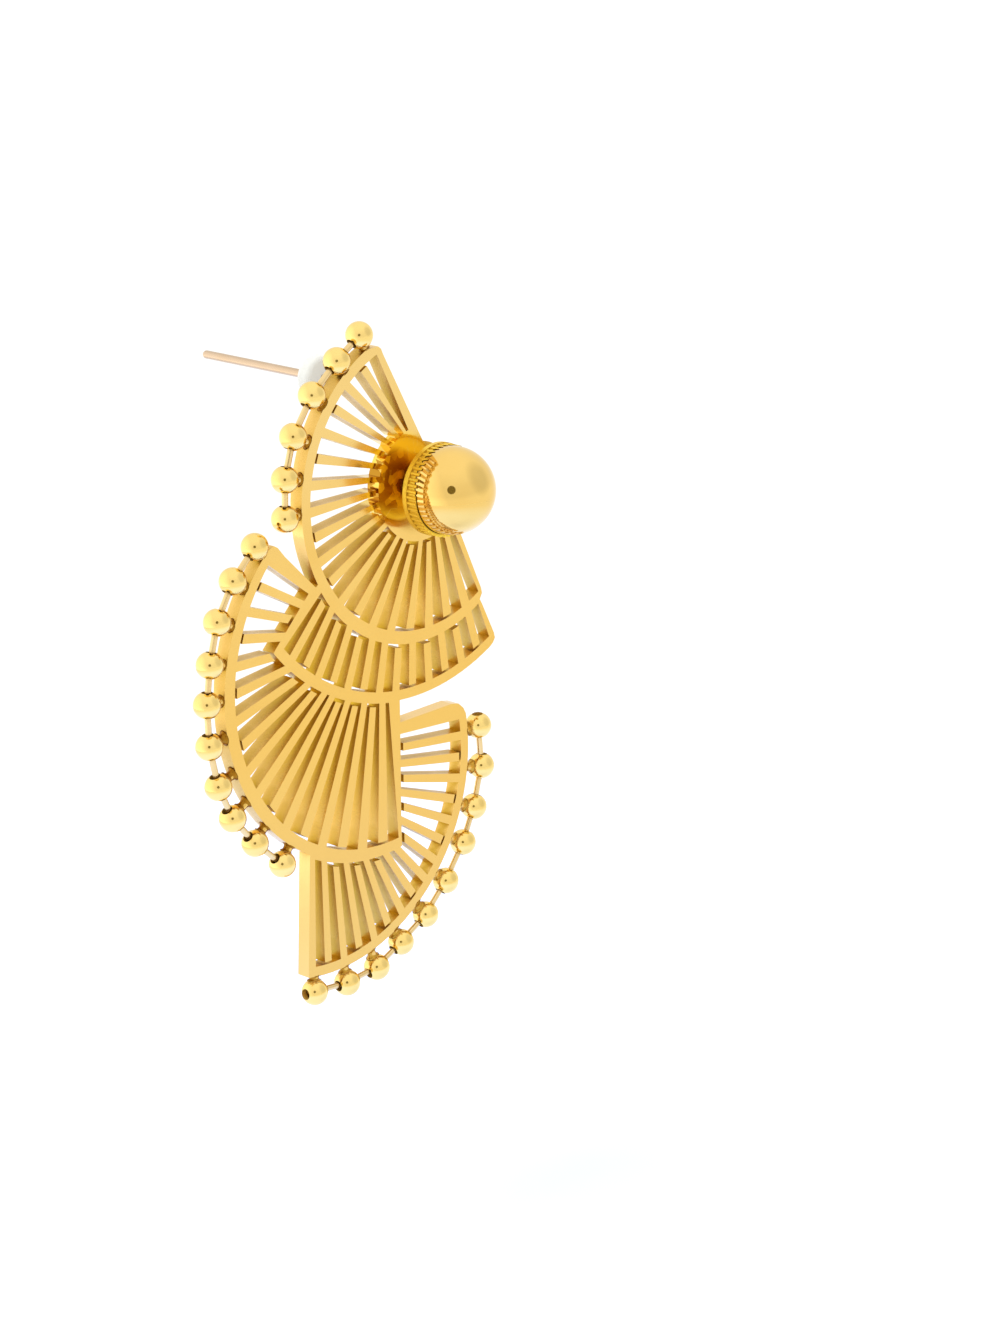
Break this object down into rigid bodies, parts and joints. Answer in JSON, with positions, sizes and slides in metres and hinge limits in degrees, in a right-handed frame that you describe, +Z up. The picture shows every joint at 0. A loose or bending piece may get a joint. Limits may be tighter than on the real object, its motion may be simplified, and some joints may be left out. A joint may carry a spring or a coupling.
{
  "type": "fan earring",
  "caption": "Statement earring for a pierced ear: a flat gold plate pierced as stacked pleated fans with beaded edges, a polished ball in a milled collar, and a long post with a soft stopper.",
  "frame": {"origin": "back face of the fan plate, where the axis of the ear post meets it", "axes": "+Z up as worn, -Y toward the viewer, +Y along the ear post through the ear lobe, +X to the viewer's right"},
  "size_m": [0.0382, 0.0278, 0.0648],
  "materials": {
    "fan_gold": "gold plated, satin polished",
    "ball_gold": "gold plated, mirror polished",
    "collar_gold": "gold plated, milled ridges",
    "bead_gold": "gold plated, polished",
    "wire_gold": "gold plated, polished",
    "post_gold": "pale gold plated, polished",
    "stopper_clear": "clear soft silicone"
  },
  "bodies": {
    "root": {"fan_plate": "fan_gold", "ball": "ball_gold", "milled_collar": "collar_gold", "ear_post": "post_gold", "post_stopper": "stopper_clear", "top_wire": "wire_gold", "middle_wire": "wire_gold", "bottom_wire": "wire_gold", "top_bead_1": "bead_gold", "top_bead_2": "bead_gold", "top_bead_3": "bead_gold", "top_bead_4": "bead_gold", "top_bead_5": "bead_gold", "top_bead_6": "bead_gold", "middle_bead_1": "bead_gold", "middle_bead_2": "bead_gold", "middle_bead_3": "bead_gold", "middle_bead_4": "bead_gold", "middle_bead_5": "bead_gold", "middle_bead_6": "bead_gold", "middle_bead_7": "bead_gold", "middle_bead_8": "bead_gold", "middle_bead_9": "bead_gold", "middle_bead_10": "bead_gold", "bottom_bead_1": "bead_gold", "bottom_bead_2": "bead_gold", "bottom_bead_3": "bead_gold", "bottom_bead_4": "bead_gold", "bottom_bead_5": "bead_gold", "bottom_bead_6": "bead_gold", "bottom_bead_7": "bead_gold", "bottom_bead_8": "bead_gold", "bottom_bead_9": "bead_gold", "bottom_bead_10": "bead_gold"}
  },
  "joints": []
}
